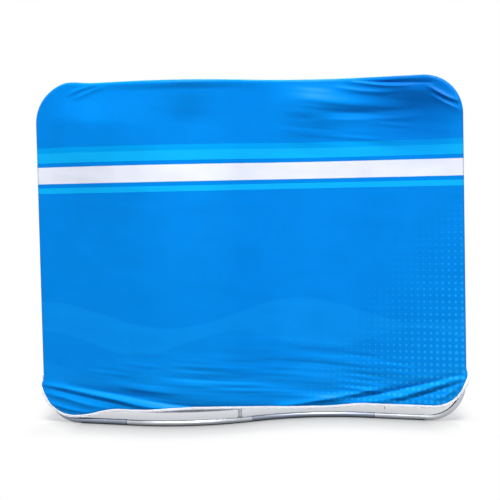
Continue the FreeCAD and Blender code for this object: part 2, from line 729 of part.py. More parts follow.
def zip_slider(label):
    body = new_body(label)
    section = new_sketch(body, "Channel", "YZ_Plane")
    bound_outline(section, [
        (f"{cloth_gap} - Sizes.slider_wall", slider_foot),
        (slider_face, slider_foot),
        (slider_face, slider_head),
        (tape_gap, slider_head),
        (tape_gap, coil_top),
        (coil_gap, coil_top),
        (coil_gap, "-Sizes.zip_clearance"),
        (cloth_gap, "-Sizes.zip_clearance"),
        (cloth_gap, slider_head),
        (f"{cloth_gap} - Sizes.slider_wall", slider_head),
    ])
    extrude(body, "Pad", section, "Body", "Sizes.slider_length", symmetric=True)
    ears = new_sketch(body, "EarSide", "YZ_Plane")
    bound_outline(ears, [
        (slider_face, f"{bar_z} - {ear_reach}"),
        (f"{bar_y} + {ear_reach}", f"{bar_z} - {ear_reach}"),
        (f"{bar_y} + {ear_reach}", f"{bar_z} + {ear_reach}"),
        (slider_face, f"{bar_z} + {ear_reach}"),
    ])
    extrude(body, "Pad", ears, "Ears", "Sizes.eye_gap + 2 * Sizes.ear_wall", symmetric=True)
    gap = new_sketch(body, "GapSide", "YZ_Plane")
    bound_outline(gap, [
        (slider_face, f"{bar_z} - 2 * {ear_reach}"),
        (f"{bar_y} + 2 * {ear_reach}", f"{bar_z} - 2 * {ear_reach}"),
        (f"{bar_y} + 2 * {ear_reach}", f"{bar_z} + 2 * {ear_reach}"),
        (slider_face, f"{bar_z} + 2 * {ear_reach}"),
    ])
    extrude(body, "Pocket", gap, "EyeGap", "Sizes.eye_gap", symmetric=True)
    bar = new_sketch(body, "BarCircle", "YZ_Plane", [("x", bar_y), ("y", bar_z)])
    bound_circle(bar, "bar_radius", "Sizes.bar_diameter / 2")
    extrude(body, "Pad", bar, "Bar", "Sizes.eye_gap + Sizes.ear_wall", symmetric=True)
    return body


# Pull: an eye round the slider's bar, a neck and a flat tab that hangs down
def zip_pull(label):
    body = new_body(label)
    eye = "(Sizes.bar_diameter / 2 + Sizes.fit_clearance)"
    eye_outside = f"({eye} + Sizes.eye_wall)"
    ring = new_sketch(body, "EyeCircle", "YZ_Plane")
    bound_circle(ring, "eye", eye_outside)
    extrude(body, "Pad", ring, "Eye", "Sizes.eye_width", symmetric=True)
    tab = new_sketch(body, "TabFront", "XZ_Plane")
    bound_outline(tab, [
        ("-Sizes.eye_width / 2", "0"),
        ("-Sizes.eye_width / 2", "-Sizes.pull_neck"),
        ("-Sizes.pull_width / 2", "-Sizes.pull_neck"),
        ("-Sizes.pull_width / 2", "Sizes.pull_width / 2 - Sizes.pull_length"),
        ("Sizes.pull_width / 2", "Sizes.pull_width / 2 - Sizes.pull_length"),
        ("Sizes.pull_width / 2", "-Sizes.pull_neck"),
        ("Sizes.eye_width / 2", "-Sizes.pull_neck"),
        ("Sizes.eye_width / 2", "0"),
    ])
    extrude(body, "Pad", tab, "Tab", "Sizes.pull_thickness", symmetric=True)
    tip = new_sketch(body, "TipCircle", "XZ_Plane", [("y", "Sizes.pull_width / 2 - Sizes.pull_length")])
    bound_circle(tip, "tip", "Sizes.pull_width / 2")
    extrude(body, "Pad", tip, "Tip", "Sizes.pull_thickness", symmetric=True)
    bore = new_sketch(body, "BoreCircle", "YZ_Plane")
    bound_circle(bore, "bore", eye)
    extrude(body, "Pocket", bore, "Bore", "2 * Sizes.eye_width", symmetric=True)
    return body


hem_foot = size("hem_back") - size("tape_width") - size("coil_height")
hem_way = heading(end_angle)
slider_point = at(outer_joint + hem_way * size("slider_place"), hem_foot)
slider = zip_slider("zip_slider")
slider.Placement = Placement(slider_point, facing(hem_way, up))
bar_point = slider_point + backward(end_angle) * number(bar_y) + up * number(bar_z)
pull = zip_pull("zip_pull")
pull.Placement = Placement(bar_point, facing(hem_way, up))
doc.recompute()

# Every feature has worked, every cut has removed something, and every piece is a whole solid
for thing in doc.Objects:
    if "Invalid" in thing.State or "Error" in thing.State:
        raise RuntimeError(f"{thing.Name} failed: {thing.State}")
    if thing.TypeId == "PartDesign::Pocket" and thing.Shape.Volume >= thing.BaseFeature.Shape.Volume:
        raise RuntimeError(f"{thing.Name} cuts nothing")
os.makedirs("parts", exist_ok=True)
for piece in subparts:
    if piece.Shape.isNull() or not piece.Shape.isValid() or not piece.Shape.Solids:
        raise RuntimeError(f"{piece.Label} has no valid solid")
for piece in subparts:
    piece.Shape.exportStep(f"parts/{piece.Label}.step")
    print(piece.Label, len(piece.Shape.Solids), round(piece.Shape.Volume))
print("side axis", side_axis, "outer joint", outer_joint, "pole", pole_point, "slider", slider_point)
print("bar", bar_point)
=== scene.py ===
import json
import math

import bpy
import numpy as np
from mathutils import Matrix, Vector


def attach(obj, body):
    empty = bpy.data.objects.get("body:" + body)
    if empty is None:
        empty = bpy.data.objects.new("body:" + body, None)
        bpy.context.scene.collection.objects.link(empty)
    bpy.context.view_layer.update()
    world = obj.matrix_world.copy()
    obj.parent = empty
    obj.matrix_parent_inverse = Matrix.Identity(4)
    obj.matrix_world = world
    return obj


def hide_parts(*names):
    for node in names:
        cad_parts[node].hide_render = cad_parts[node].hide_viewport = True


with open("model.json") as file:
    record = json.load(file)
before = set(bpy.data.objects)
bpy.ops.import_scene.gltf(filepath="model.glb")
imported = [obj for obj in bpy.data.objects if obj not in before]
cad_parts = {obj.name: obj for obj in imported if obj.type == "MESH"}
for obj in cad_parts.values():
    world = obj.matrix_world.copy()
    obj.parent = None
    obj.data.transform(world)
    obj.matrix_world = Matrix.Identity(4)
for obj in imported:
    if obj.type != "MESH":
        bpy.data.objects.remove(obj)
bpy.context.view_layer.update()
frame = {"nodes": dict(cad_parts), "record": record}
nodes = frame["nodes"]
print("frame loaded:", len(nodes), "nodes")


def linear(hexColour):
    parts = [int(hexColour[i:i + 2], 16) / 255 for i in (1, 3, 5)]
    return [c / 12.92 if c <= 0.04045 else ((c + 0.055) / 1.055) ** 2.4 for c in parts] + [1.0]


def addNode(tree, kind, links=None, **settings):
    # sockets go by name, or by number where names repeat, and a node stands for its first output
    node = tree.nodes.new(kind)
    for name, value in settings.items():
        setattr(node, name, value)
    for socket, value in (links or {}).items():
        if isinstance(value, bpy.types.Node):
            value = value.outputs[0]
        if isinstance(value, bpy.types.NodeSocket):
            tree.links.new(value, node.inputs[socket])
        else:
            node.inputs[socket].default_value = value
    return node


def patternScale(millimetres):
    # scale of a noise texture whose marks are about this far apart
    return 1000 / millimetres


def bandScale(millimetres):
    # the same for a wave texture, whose bands lie 314 mm apart at a scale of 1
    return 314 / millimetres


def startMaterial(name):
    material = bpy.data.materials.new(name)
    material.use_nodes = True
    material.node_tree.nodes.clear()
    return material, material.node_tree


def closeMaterial(tree, shader):
    addNode(tree, "ShaderNodeOutputMaterial", {"Surface": shader})


def mottle(tree, colour, pattern, shades, spread=(0.0, 1.0)):
    # a colour that goes from one shade to the other over the spread of a pattern
    value = addNode(tree, "ShaderNodeMapRange",
                    {"Value": pattern, 1: spread[0], 2: spread[1], 3: shades[0], 4: shades[1]})
    return addNode(tree, "ShaderNodeHueSaturation", {"Color": colour, "Value": value})


cloudSpread = (0.3, 0.7)  # most of a noise lies between these


# Camera, from a fit to the outline of the stand
shot = {
    "place": (-0.06, -8.3, 1.59),
    "yaw": 0.50,
    "pitch": -2.96,
    "roll": 1.22,
    "focalPixels": 1237.0,
    "framePixels": 500.0,
    "sensor": 36.0,
}


def placeCamera():
    data = bpy.data.cameras.new("shotCamera")
    data.sensor_width = shot["sensor"]
    data.lens = shot["focalPixels"] / shot["framePixels"] * shot["sensor"]
    camera = bpy.data.objects.new("shotCamera", data)
    bpy.context.scene.collection.objects.link(camera)
    yaw, pitch, roll = (math.radians(shot[k]) for k in ("yaw", "pitch", "roll"))
    ahead = Vector((math.sin(yaw) * math.cos(pitch), math.cos(yaw) * math.cos(pitch), math.sin(pitch)))
    right = Vector((math.cos(yaw), -math.sin(yaw), 0))
    down = ahead.cross(right)
    across = math.cos(roll) * right + math.sin(roll) * down
    drop = -math.sin(roll) * right + math.cos(roll) * down
    turn = Matrix((across, -drop, -ahead)).transposed().to_4x4()
    camera.matrix_world = Matrix.Translation(shot["place"]) @ turn
    bpy.context.scene.camera = camera


placeCamera()
print("camera placed")

# Plan of the ring in metres: a stub, a rolled bend, a stub and a corner arm on each half
ring = {
    "stub": 0.060,
    "rollRadius": 0.980,
    "middleAngle": math.radians(23.5),
    "endAngle": math.radians(-20.0),
    "arm": 0.362,
    "bend": 0.240,
}
rollLength = ring["rollRadius"] * (ring["middleAngle"] - ring["endAngle"])
halfLength = 2 * ring["stub"] + rollLength + ring["arm"] + ring["bend"]


def planPlace(along):
    # point and heading on the plan, at a distance along it from the middle joint
    reach = np.abs(along)
    first = np.minimum(reach, ring["stub"])
    angle = ring["middleAngle"] - np.clip(reach - ring["stub"], 0, rollLength) / ring["rollRadius"]
    tail = np.maximum(reach - ring["stub"] - rollLength, 0)
    mid, end, radius = ring["middleAngle"], ring["endAngle"], ring["rollRadius"]
    x = first * math.cos(mid) + radius * (math.sin(mid) - np.sin(angle)) + tail * math.cos(end)
    y = first * math.sin(mid) + radius * (np.cos(angle) - math.cos(mid)) + tail * math.sin(end)
    half = np.sign(along)
    return x * half, y * half, angle


planReach = 1.6  # each way from the middle, past both ends
planSteps = np.linspace(-planReach, planReach, 3201)
planAcross = planPlace(planSteps)[0]


def alongAt(x):
    return np.interp(x, planAcross, planSteps)


# Cover: where its cloth lies round the tubes, and how its hem runs (metres)
cover = {
    "axis": 2.279,
    "outside": 0.0225,
    "thickness": 0.001,
    "hemRadius": 0.222,
    "hemLevel": 0.030,
    "frontCorner": (0.056, 0.103),
    "frontJoint": (0.110, 0.103),
    "crest": (-0.430, 0.126),
    "dip": (0.480, 0.081),
    "back": 0.100,
    "wrapSteps": 7,
    "seamDip": 0.0012,
    "seamTurn": (0.42 * math.pi, 0.50 * math.pi),
    "flare": ((0.018, 0.010), (0.262, 0.318)),
    "flareFall": (0.022, 0.060),
    "highCorner": (-1.22, 0.10, 0.012),
    "highFrom": (1.75, 2.2),
    "backSlack": 0.6,
    "backRipple": (0.0012, 0.6),
    "backFlat": (0.12, 0.24),
    "tubeAxes": (0.019, 2.281),
    "onTube": 0.0207,
}
coverEdge = halfLength + cover["outside"]
cornerCentre = cover["axis"] - ring["bend"]
bendStart = halfLength - ring["bend"]
outerAlong = bendStart - ring["arm"]
outerAcross = float(planPlace(outerAlong)[0])
facesOut = {"front": -1, "back": 1}


def bow(part):
    # two equal bows from one level to the next
    part = np.clip(part, 0, 1)
    return np.where(part < 0.5, 2 * part ** 2, 1 - 2 * (1 - part) ** 2)


def hemHeight(face, along):
    front = face == "front"
    corner = cover["frontCorner"] if front else (cover["back"],) * 2
    joint = cover["frontJoint"] if front else (cover["back"],) * 2
    level, radius = cover["hemLevel"], cover["hemRadius"]
    across = planPlace(along)[0]
    reach = np.abs(along)
    cornerAt = np.where(along < 0, corner[0], corner[1])
    jointAt = np.where(along < 0, joint[0], joint[1])
    fallStart = coverEdge - radius
    outerEnd = outerAlong + level
    height = jointAt + (cornerAt - jointAt) * bow((reach - outerEnd) / (fallStart - outerEnd))
    if front:
        stops = [(level - outerAcross, joint[0]), cover["crest"], cover["dip"],
                 (outerAcross - level, joint[1])]
        middle = np.full_like(height, joint[0])
        for (x0, z0), (x1, z1) in zip(stops, stops[1:]):
            middle = np.where(across > x0, z0 + (z1 - z0) * bow((across - x0) / (x1 - x0)), middle)
        height = np.where(reach < outerAlong, middle, height)
    past = np.maximum(reach - fallStart, 0)
    fall = radius - np.sqrt(np.maximum(radius ** 2 - past ** 2, 0))
    return np.where(reach > fallStart, cornerAt + fall, height)


# Folds of the slack front: the line that catches the light as (x, z) in mm, rise, breadth above and
# below the crest in mm, and how much of the rise is left at each end
folds = [
    # lower left, fanning out of the corner
    ([(-1420, 264), (-1250, 243), (-1100, 216), (-902, 181), (-732, 146), (-560, 124), (-440, 114)],
     14, 16, 25, 0.35, 0.2),
    ([(-1220, 260), (-1090, 246), (-880, 218), (-680, 184), (-500, 155), (-360, 138), (-240, 127),
      (-130, 120)], -13, 28, 14, 0.45, 0.2),
    ([(-1400, 244), (-1250, 212), (-1100, 184), (-902, 152), (-760, 128)], -6, 14, 16, 0.4, 0.1),
    ([(-1420, 210), (-1280, 182), (-1145, 148), (-1030, 127), (-937, 113)], 9, 16, 20, 0.3, 0.1),
    ([(-1425, 154), (-1320, 122), (-1246, 104), (-1130, 87), (-1026, 80)], 8, 14, 16, 0.3, 0.1),
    # lower right
    ([(1440, 312), (1330, 280), (1216, 240), (1100, 196), (1002, 162), (887, 135), (739, 112)],
     14, 19, 24, 0.3, 0.15),
    ([(1410, 326), (1310, 298), (1216, 266), (1083, 231), (950, 195), (820, 164), (700, 140)],
     -14, 21, 14, 0.3, 0.1),
    ([(1400, 264), (1310, 236), (1216, 199), (1083, 153), (980, 124)], -8, 12, 15, 0.3, 0.1),
    ([(930, 222), (858, 207), (673, 164), (483, 131), (332, 111), (180, 99)], 14, 18, 20, 0.1, 0.45),
    ([(1440, 290), (1398, 256), (1304, 184), (1210, 142)], 7, 14, 16, 0.3, 0.05),
    # top right, bunched under the edge
    ([(700, 2292), (800, 2283), (900, 2272), (1010, 2262), (1120, 2258), (1240, 2250)],
     -11, 12, 10, 0.1, 0.4),
    ([(690, 2284), (800, 2268), (876, 2254), (995, 2240), (1110, 2238)], 13, 11, 15, 0.2, 0.1),
    ([(600, 2250), (700, 2232), (811, 2214), (920, 2204), (1030, 2203)], 10, 16, 20, 0.15, 0.1),
    ([(500, 2156), (680, 2144), (830, 2130), (960, 2114), (1090, 2098)], 10, 32, 26, 0.15, 0.1),
    ([(420, 2036), (620, 2030), (808, 2028), (980, 2028), (1150, 2034)], 8, 20, 30, 0.15, 0.1),
    ([(420, 2084), (700, 2078), (900, 2080), (1130, 2088)], -5, 24, 24, 0.1, 0.1),
    ([(1000, 2226), (1120, 2214), (1240, 2196), (1330, 2164)], 5, 22, 60, 0.1, 0.1),
    ([(1200, 2234), (1262, 2196), (1325, 2156), (1420, 2112)], 13, 13, 10, 0.1, 0.5),
    ([(1225, 2172), (1290, 2130), (1360, 2090), (1430, 2058)], 9, 9, 22, 0.1, 0.5),
    # top left
    ([(-1180, 2216), (-1090, 2258), (-1020, 2280), (-960, 2288)], 8, 11, 12, 0.1, 0.3),
    ([(-1150, 2186), (-1060, 2228), (-1000, 2254), (-930, 2272)], 6, 12, 12, 0.1, 0.3),
]

# How a fold is formed: its crest lies below the line that catches the light, by this share of its
# breadth above, and is rounded by a share too. Then how fast it swells from its ends and falls away.
foldForm = {
    "crestBelow": 0.45,
    "crestRound": 0.22,
    "reach": 3.0,
    "swell": 0.7,
    "fall": 1.25,
}

# Places where the cloth falls in or fills out under the edge: middle (x, z), width, height above and
# below, and how far it falls in (metres)
hollows = [
    ((1.12, 2.060), (0.22, (0.115, 0.30)), 0.030),
    ((0.76, 2.05), (0.32, (0.06, 0.16)), 0.010),
    ((0.47, 2.135), (0.20, (0.105, 0.18)), -0.040),
    ((-1.00, 2.010), (0.36, (0.165, 0.50)), -0.037),
    ((-0.38, 2.000), (0.17, (0.16, 0.60)), 0.028),
    ((-0.40, 2.234), (0.40, (0.032, 0.40)), 0.010),
]


def smoothPath(points, steps=28):
    # an even, rounded line through the points
    points = np.array(points, float)
    knots = np.concatenate([[0], np.cumsum(np.linalg.norm(np.diff(points, axis=0), axis=1))])
    ends = np.linspace(0, knots[-1], steps + 1)
    slopes = np.gradient(points, knots, axis=0)
    spot = np.clip(np.searchsorted(knots, ends, side="right") - 1, 0, len(knots) - 2)
    width = (knots[spot + 1] - knots[spot])[:, None]
    t = ((ends - knots[spot])[:, None]) / width
    rise = (1 + 2 * t) * (1 - t) ** 2 * points[spot] + t * (1 - t) ** 2 * width * slopes[spot]
    return rise + t ** 2 * (3 - 2 * t) * points[spot + 1] + t ** 2 * (t - 1) * width * slopes[spot + 1]


foldLines = []
for crest, rise, above, below, startShare, endShare in folds:
    line = np.array([(alongAt(x / 1000), (z - foldForm["crestBelow"] * above) / 1000) for x, z in crest])
    foldLines.append((smoothPath(line), rise / 1000, above / 1000, below / 1000, startShare, endShare))


# Slack ripples: long low waves that run along the cloth, from seeded random heights. Length and
# height of a wave, its rise in each zone, and where the zones start and end (metres).
ripple = {
    "seed": 7,
    "grid": (160, 24),
    "firstRow": 12,
    "slant": 0.10,
    "coarse": (0.42, 0.046),
    "coarseRise": (0.0044, 0.0024, 0.0006),
    "fine": (0.30, 0.021),
    "fineRise": (0.0026, 0.0012),
    "lowZone": ((0.62, 0.20), (1.35, 0.90)),
    "highZone": ((1.72, 1.92), (0.15, 0.45), (1.25, 0.95)),
}
rippleGrid = np.random.default_rng(ripple["seed"]).uniform(-1, 1, ripple["grid"])


def rippleAt(along, height, grade="coarse"):
    waveLength, waveHeight = ripple[grade]
    u = (along + planReach) / waveLength
    v = (height + ripple["slant"] * along) / waveHeight + ripple["firstRow"]
    i, j = np.floor(u).astype(int), np.floor(v).astype(int)
    a, b = u - i, v - j
    a, b = a * a * (3 - 2 * a), b * b * (3 - 2 * b)
    rows, columns = ripple["grid"]
    left, right = i % columns, (i + 1) % columns
    low, high = (rippleGrid[row % rows, left] * (1 - a) + rippleGrid[row % rows, right] * a
                 for row in (j, j + 1))
    return low * (1 - b) + high * b


def ease(value, start, end):
    t = np.clip((value - start) / (end - start), 0, 1)
    return t * t * (3 - 2 * t)


def restDepth(along, height):
    # how far in the cloth may go before it rests on the ring of tube
    lowCentre, highCentre = cover["tubeAxes"][0] + ring["bend"], cover["tubeAxes"][1] - ring["bend"]
    sideways = np.maximum(np.abs(along) - bendStart, 0)
    upright = np.maximum(np.maximum(height - highCentre, lowCentre - height), 0)
    gap = np.hypot(sideways, upright) - ring["bend"]
    return np.sqrt(np.maximum(cover["onTube"] ** 2 - gap ** 2, 0)) - cover["outside"]


def foldDepth(along, height):
    depth = np.zeros_like(along)
    spots = np.stack([along, height], axis=-1)
    for line, rise, above, below, startShare, endShare in foldLines:
        margin = foldForm["reach"] * max(above, below)
        low, high = line.min(axis=0) - margin, line.max(axis=0) + margin
        near = np.all((spots > low) & (spots < high), axis=-1)
        if not near.any():
            continue
        chosen = spots[near]
        best = np.full(len(chosen), np.inf)
        side = np.zeros(len(chosen))
        share = np.zeros(len(chosen))
        for index, (p, q) in enumerate(zip(line, line[1:])):
            way = q - p
            t = np.clip(((chosen - p) @ way) / (way @ way), 0, 1)
            gap = chosen - (p + t[:, None] * way)
            distance = np.linalg.norm(gap, axis=1)
            closer = distance < best
            best = np.where(closer, distance, best)
            side = np.where(closer, np.sign(gap[:, 1]), side)
            share = np.where(closer, (index + t) / (len(line) - 1), share)
        breadth = np.where(side > 0, above, below)
        swell = np.sin(np.pi * share) ** foldForm["swell"]
        edge = startShare + (endShare - startShare) * share
        level = edge + (1 - edge) * swell
        soft = foldForm["crestRound"] * min(above, below)
        reach = np.sqrt(best ** 2 + soft ** 2) - soft
        depth[near] += rise * level * np.exp(-(reach / breadth) ** foldForm["fall"])
    # hollows, which the side tubes hold flat near the ends
    heldBySides = ease(np.abs(along), halfLength, bendStart)
    for (x, z), (wide, tall), sink in hollows:
        aside = (along - alongAt(x)) / wide
        upright = (height - z) / np.where(height > z, *tall)
        depth -= sink * np.exp(-(aside ** 2 + upright ** 2)) * heldBySides
    # ripples, above the hem and under the top right edge
    levels, ends = ripple["lowZone"]
    lower = ease(height, *levels) * ease(np.abs(along), *ends)
    levels, left, right = ripple["highZone"]
    upper = ease(height, *levels) * ease(along, *left) * ease(along, *right)
    low, high = ripple["fineRise"]
    fine = rippleAt(along, height, "fine") * (low * lower + high * upper)
    low, high, everywhere = ripple["coarseRise"]
    depth += fine + rippleAt(along, height) * (low * lower + high * upper + everywhere)
    inside = restDepth(along, height)
    return np.where(inside > -cover["outside"], np.maximum(depth, inside), depth)


def topLift(along, height):
    # the top edge stands a little high on the left corner
    place, breadth, rise = cover["highCorner"]
    return rise * np.exp(-((along - place) / breadth) ** 2) * ease(height, *cover["highFrom"])


def flare(along, height):
    # the loose cloth stands out sideways where its hem leaves the side tubes
    reach, middle = (np.where(along < 0, low, high) for low, high in cover["flare"])
    gap = (height - middle) / np.where(height > middle, *cover["flareFall"])
    return reach * np.exp(-gap ** 2)


def coverPoints(face, along, height, turn, normal):
    # turn goes from 0 on the face to a quarter at the seam, towards the normal of the ring's outline
    out = facesOut[face]
    radius = cover["outside"] - cover["seamDip"] * ease(turn, *cover["seamTurn"])
    past = (radius + flare(along, height)) * np.sin(turn)
    offset = radius * np.cos(turn)
    if face == "front":
        offset = offset + foldDepth(along, height) * np.cos(turn)
    else:
        # the back hangs with like folds, lower ones, and runs flat into its zip
        rise, stretch = cover["backRipple"]
        slack = cover["backSlack"] * foldDepth(-along, height) + rise * rippleAt(-along, height * stretch)
        offset = offset + slack * ease(height, *cover["backFlat"]) * np.cos(turn)
    x, y, angle = planPlace(along + past * normal[0])
    z = height + past * normal[1] + topLift(along, height)
    return np.stack([x - np.sin(angle) * out * offset, y + np.cos(angle) * out * offset, z], axis=-1)


def gridFaces(rows, columns, start, flip):
    index = start + np.arange(rows * columns).reshape(rows, columns)
    quads = np.stack([index[:-1, :-1], index[:-1, 1:], index[1:, 1:], index[1:, :-1]], axis=-1)
    quads = quads.reshape(-1, 4)
    return quads[:, ::-1] if flip else quads


def newPiece(name, points, faces, materials, uv=None, smooth=True):
    mesh = bpy.data.meshes.new(name)
    mesh.from_pydata([tuple(p) for p in points], [], [tuple(f) for f in faces])
    if uv is not None:
        layer = mesh.uv_layers.new(name="cloth")
        corners = np.empty(len(mesh.loops), dtype=np.int32)
        mesh.loops.foreach_get("vertex_index", corners)
        layer.data.foreach_set("uv", np.asarray(uv)[corners].ravel())
    for material in materials:
        mesh.materials.append(material)
    mesh.polygons.foreach_set("use_smooth", [smooth] * len(mesh.polygons))
    mesh.update()
    piece = bpy.data.objects.new(name, mesh)
    bpy.context.scene.collection.objects.link(piece)
    return piece


def joinGrids(grids):
    # grids share their edges, so points within a hundredth of a millimetre are welded
    points = np.concatenate([grid.reshape(-1, 3) for grid, uv in grids])
    uvs = np.concatenate([uv.reshape(-1, 2) for grid, uv in grids])
    first, inverse = np.unique(np.round(points, 5), axis=0, return_index=True, return_inverse=True)[1:]
    return points[first], uvs[first], inverse.ravel()


wrapTurns = np.linspace(0, math.pi / 2, cover["wrapSteps"])  # from the face round to the seam

# Fineness of each panel (metres): columns, rows up to each level, and columns round a corner
panelGrid = {
    "front": {"column": 0.0095, "rows": ((0.36, 0.0050), (1.86, 0.0145), (2.30, 0.0050)), "corner": 34},
    "back": {"column": 0.0125, "rows": ((0.36, 0.0075), (1.86, 0.0300), (2.30, 0.0075)), "corner": 26},
}


def panelColumns(settings):
    count = int(2 * bendStart / settings["column"])
    middle = np.linspace(-bendStart, bendStart, count)
    quarter = np.linspace(0, math.pi / 2, settings["corner"])[1:]
    right = bendStart + ring["bend"] * np.sin(quarter)
    return np.concatenate([-right[::-1], middle, right])


def panelRows(settings):
    levels = [0.0]
    for top, step in settings["rows"]:
        levels += list(np.linspace(levels[-1], top, int((top - levels[-1]) / step) + 1)[1:])
    return np.array(levels) / levels[-1]


def outlineTop(along):
    past = np.maximum(np.abs(along) - bendStart, 0)
    return cornerCentre + np.sqrt(np.maximum(ring["bend"] ** 2 - past ** 2, 0))


def outlineNormal(along):
    past = np.maximum(np.abs(along) - bendStart, 0) / ring["bend"]
    return np.sign(along) * past, np.sqrt(np.maximum(1 - past ** 2, 0))


def panelGrids(face):
    settings = panelGrid[face]
    columns, rows = panelColumns(settings), panelRows(settings)
    low, high = hemHeight(face, columns), outlineTop(columns)
    along = np.broadcast_to(columns, (len(rows), len(columns)))
    height = low + (high - low) * rows[:, None]
    flat = (np.zeros_like(height), np.ones_like(height))
    grids = [(coverPoints(face, along, height, np.zeros_like(height), flat),
              np.stack([along, height], axis=-1))]
    shape = (len(wrapTurns), len(columns))
    along, height = np.broadcast_to(columns, shape), np.broadcast_to(high, shape)
    turn = np.broadcast_to(wrapTurns[:, None], shape)
    normal = tuple(np.broadcast_to(n, shape) for n in outlineNormal(columns))
    arc = cover["outside"] * turn
    grids.append((coverPoints(face, along, height, turn, normal),
                  np.stack([along + arc * normal[0], height + arc * normal[1]], axis=-1)))
    for half in (-1, 1):
        past = halfLength + cover["outside"] * np.sin(wrapTurns)
        low = hemHeight(face, half * past)
        height = low + (cornerCentre - low) * rows[:, None]
        along = np.full_like(height, half * halfLength)
        turn = np.broadcast_to(wrapTurns, height.shape)
        normal = (np.full_like(height, float(half)), np.zeros_like(height))
        grids.append((coverPoints(face, along, height, turn, normal),
                      np.stack([along + half * cover["outside"] * turn, height], axis=-1)))
    return grids


def thicken(piece):
    thick = piece.modifiers.new("fabricThickness", "SOLIDIFY")
    thick.thickness = cover["thickness"]
    thick.offset = -1
    return thick


def panelPiece(side, materials):
    grids = panelGrids(side)
    points, uvs, lookup = joinGrids(grids)
    faces, start = [], 0
    for number, (grid, uv) in enumerate(grids):
        rows, columns = grid.shape[:2]
        flip = (side == "back") != (number == 2)  # the left wrap runs the other way
        faces.append(lookup[gridFaces(rows, columns, start, flip)])
        start += rows * columns
    # faces that closed up in the welding are left out
    corners = [list(dict.fromkeys(quad)) for quad in np.concatenate(faces).tolist()]
    kept = [face for face in corners if len(face) > 2]
    piece = newPiece(f"{side}Cloth", points, kept, materials, uvs)
    thick = thicken(piece)
    thick.material_offset = 1
    thick.material_offset_rim = 1
    return piece


# Stretch polyester knit: soft, even colour with a faint sheen and fine upright wales. The wales are
# about 0.5 mm apart on the real cloth, drawn at 3 mm so that they show. Dye takes in clouds (mm). Each
# colour has its specular level.
knit = {
    "wale": 3.0,
    "waleHeight": 0.0004,
    "waleStrength": 0.25,
    "cloud": 200.0,
    "dyeRange": (0.95, 1.03),
    "roughness": 0.40,
    "blue": ("#0282DB", 0.05),
    "white": ("#E9EAEE", 0.2),
}

# The print, in metres from the middle and up the cloth. A swell has its base, reach, length, phase
# and colour, and a stripe has its lower edge and colour.
printed = {
    "ground": "#0287E3",
    "dots": "#1CA1F1",
    "swells": ((0.74, 0.085, 1.75, 0.4, "#068EE8"), (0.55, 0.075, 1.30, 2.2, "#0389E4"),
               (0.36, 0.060, 1.05, 4.4, "#058DE7")),
    # painted shade in the print: its middle, its reach from full to none, and its colour
    "paintedShadePlace": (1.17, 2.14, 0.0),
    "paintedShadeReach": (0.05, 0.52),
    "paintedShadeColour": "#026BC2",
    "stripes": ((1.560, "#0EB1F5"), (1.600, "#0287E3"), (1.622, "#EDEEF8"), (1.742, "#0287E3"),
                (1.764, "#0EB1F5"), (1.834, "#02A0EE"), (1.874, "#0287E3")),
    "clothHeight": 2.4,
    "swellEdge": 0.003,
    "dotPitch": 0.042,
    "dotsBelow": (1.535, 1.530),
    "dotSlope": (0.55, -0.45, 0.0),
    "dotSlopeRange": (-0.25, 0.75),
    "dotSize": (-0.10, 0.36),
    "dotEdge": 0.04,
    "dyeRange": (0.96, 1.03),
    "specular": 0.05,
}


def finishKnit(tree, spot, colour, dyeRange, specular):
    # dye takes a little unevenly along the roll
    uneven = addNode(tree, "ShaderNodeTexNoise",
                     {"Vector": spot, "Scale": patternScale(knit["cloud"]), "Detail": 3.0})
    dyed = mottle(tree, colour, uneven.outputs["Fac"], dyeRange, cloudSpread)
    wales = addNode(tree, "ShaderNodeTexWave",
                    {"Vector": spot, "Scale": bandScale(knit["wale"]), "Distortion": 0.6, "Detail": 1.0},
                    wave_type="BANDS", bands_direction="X", wave_profile="SIN")
    bump = addNode(tree, "ShaderNodeBump",
                   {"Height": wales.outputs["Fac"], "Strength": knit["waleStrength"],
                    "Distance": knit["waleHeight"]})
    shader = addNode(tree, "ShaderNodeBsdfPrincipled",
                     {"Base Color": dyed, "Roughness": knit["roughness"],
                      "Specular IOR Level": specular, "Normal": bump})
    closeMaterial(tree, shader)


